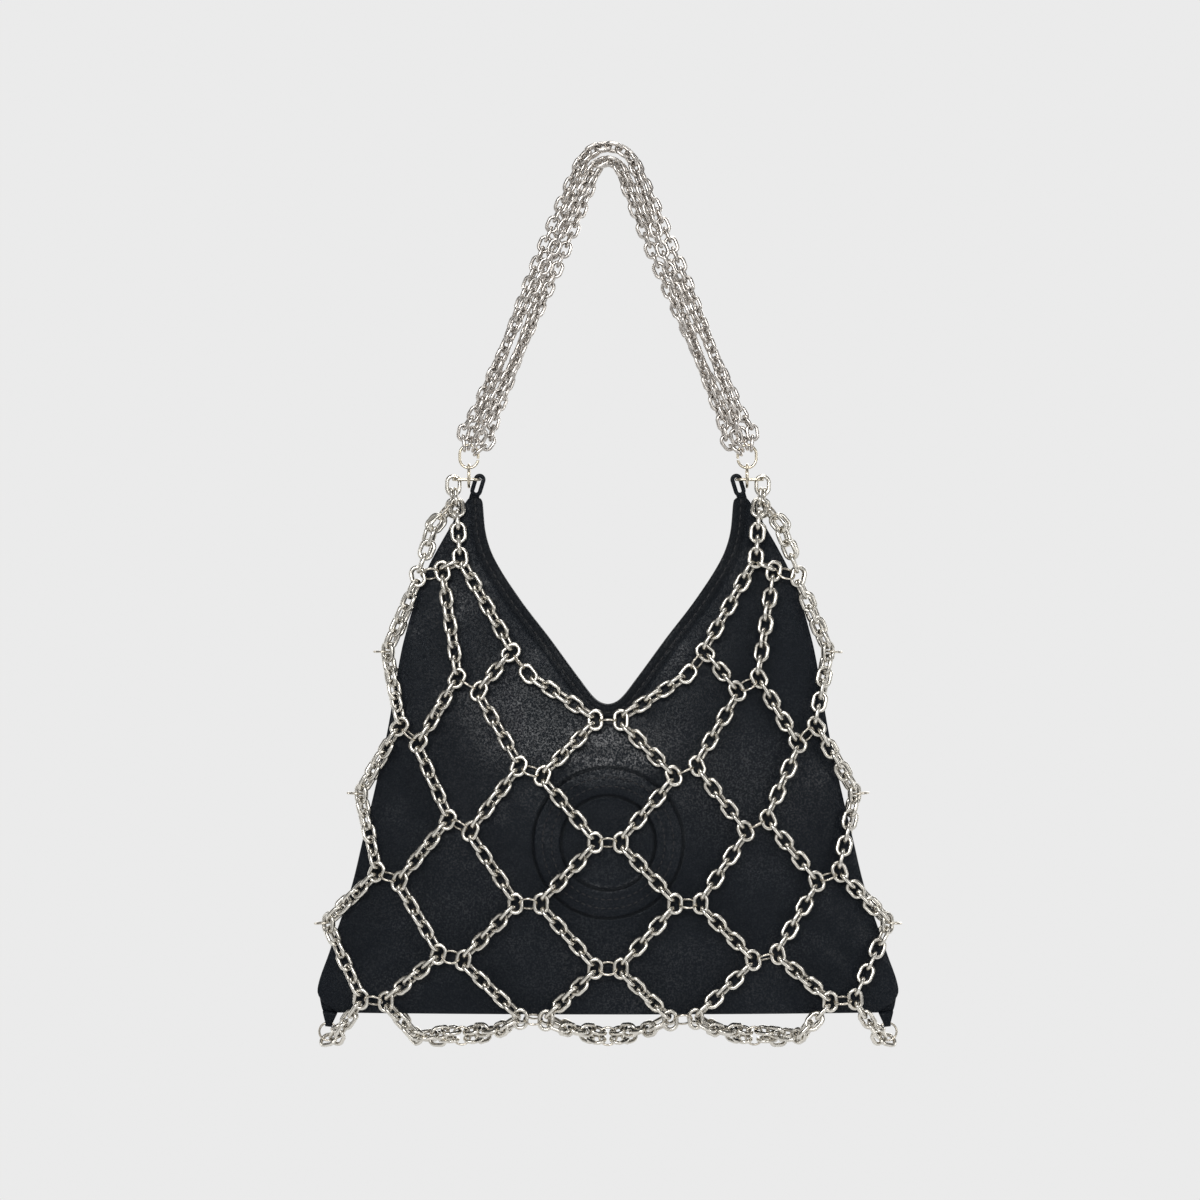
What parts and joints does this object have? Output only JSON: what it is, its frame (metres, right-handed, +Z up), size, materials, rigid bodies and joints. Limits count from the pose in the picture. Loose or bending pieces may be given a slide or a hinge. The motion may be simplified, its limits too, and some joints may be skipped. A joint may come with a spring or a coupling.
{
  "type": "chain shoulder bag",
  "caption": "V-necked black leather shoulder bag in a loose net of oval metal chain, hung from a bundled chain handle by rings at its two peaks.",
  "frame": {"origin": "the point the handle hangs from, under the top of its bend", "axes": "+Z up, +X to the right of a viewer facing the front, front towards -Y"},
  "size_m": [0.266, 0.0544, 0.4101],
  "materials": {
    "facing_leather": "smooth black leather",
    "handle_chain_metal": "polished antique nickel",
    "jump_ring_metal": "polished nickel",
    "leather": "fine grained black leather with a soft sheen",
    "lining": "black twill",
    "net_chain_metal": "polished antique nickel",
    "ring_metal": "polished pale nickel",
    "snap_metal": "satin nickel",
    "strap_leather": "black leather, cut edges"
  },
  "bodies": {
    "handle": {"handle_strand_1": "handle_chain_metal", "handle_strand_2": "handle_chain_metal", "handle_strand_3": "handle_chain_metal", "handle_strand_4": "handle_chain_metal"},
    "handle_rings": {"left_end_ring": "ring_metal", "right_end_ring": "ring_metal"},
    "connectors": {"left_connector": "ring_metal", "right_connector": "ring_metal"},
    "bag": {"back_facing": "facing_leather", "back_left_edge_chain": "net_chain_metal", "back_left_hanger": "net_chain_metal", "back_left_inner_chain": "net_chain_metal", "back_left_middle_chain": "net_chain_metal", "back_left_outer_chain": "net_chain_metal", "back_lining": "lining", "back_net_rings": "jump_ring_metal", "back_panel": "leather", "back_right_edge_chain": "net_chain_metal", "back_right_hanger": "net_chain_metal", "back_right_inner_chain": "net_chain_metal", "back_right_middle_chain": "net_chain_metal", "back_right_outer_chain": "net_chain_metal", "back_snap": "snap_metal", "base_panel": "leather", "bottom_rings": "jump_ring_metal", "front_facing": "facing_leather", "front_left_edge_chain": "net_chain_metal", "front_left_hanger": "net_chain_metal", "front_left_inner_chain": "net_chain_metal", "front_left_middle_chain": "net_chain_metal", "front_left_outer_chain": "net_chain_metal", "front_lining": "lining", "front_net_rings": "jump_ring_metal", "front_panel": "leather", "front_right_edge_chain": "net_chain_metal", "front_right_hanger": "net_chain_metal", "front_right_inner_chain": "net_chain_metal", "front_right_middle_chain": "net_chain_metal", "front_right_outer_chain": "net_chain_metal", "front_snap": "snap_metal", "left_corner_ring": "jump_ring_metal", "left_corner_tab": "strap_leather", "left_hang_link": "net_chain_metal", "left_peak_loop": "strap_leather", "left_side_rings": "jump_ring_metal", "left_yoke": "ring_metal", "right_corner_ring": "jump_ring_metal", "right_corner_tab": "strap_leather", "right_hang_link": "net_chain_metal", "right_peak_loop": "strap_leather", "right_side_rings": "jump_ring_metal", "right_yoke": "ring_metal"}
  },
  "joints": [
    {"name": "ring_swing", "type": "hinge", "parent": "handle", "child": "handle_rings", "pos_m": [0, 0, -0.12565], "axis": [1, 0, 0], "range_deg": [-12, 12]},
    {"name": "connector_swing", "type": "hinge", "parent": "handle_rings", "child": "connectors", "pos_m": [0, 0, -0.13515], "axis": [1, 0, 0], "range_deg": [-40, 40]},
    {"name": "bag_swing", "type": "hinge", "parent": "connectors", "child": "bag", "pos_m": [0, 0, -0.13925], "axis": [1, 0, 0], "range_deg": [-60, 60]}
  ]
}
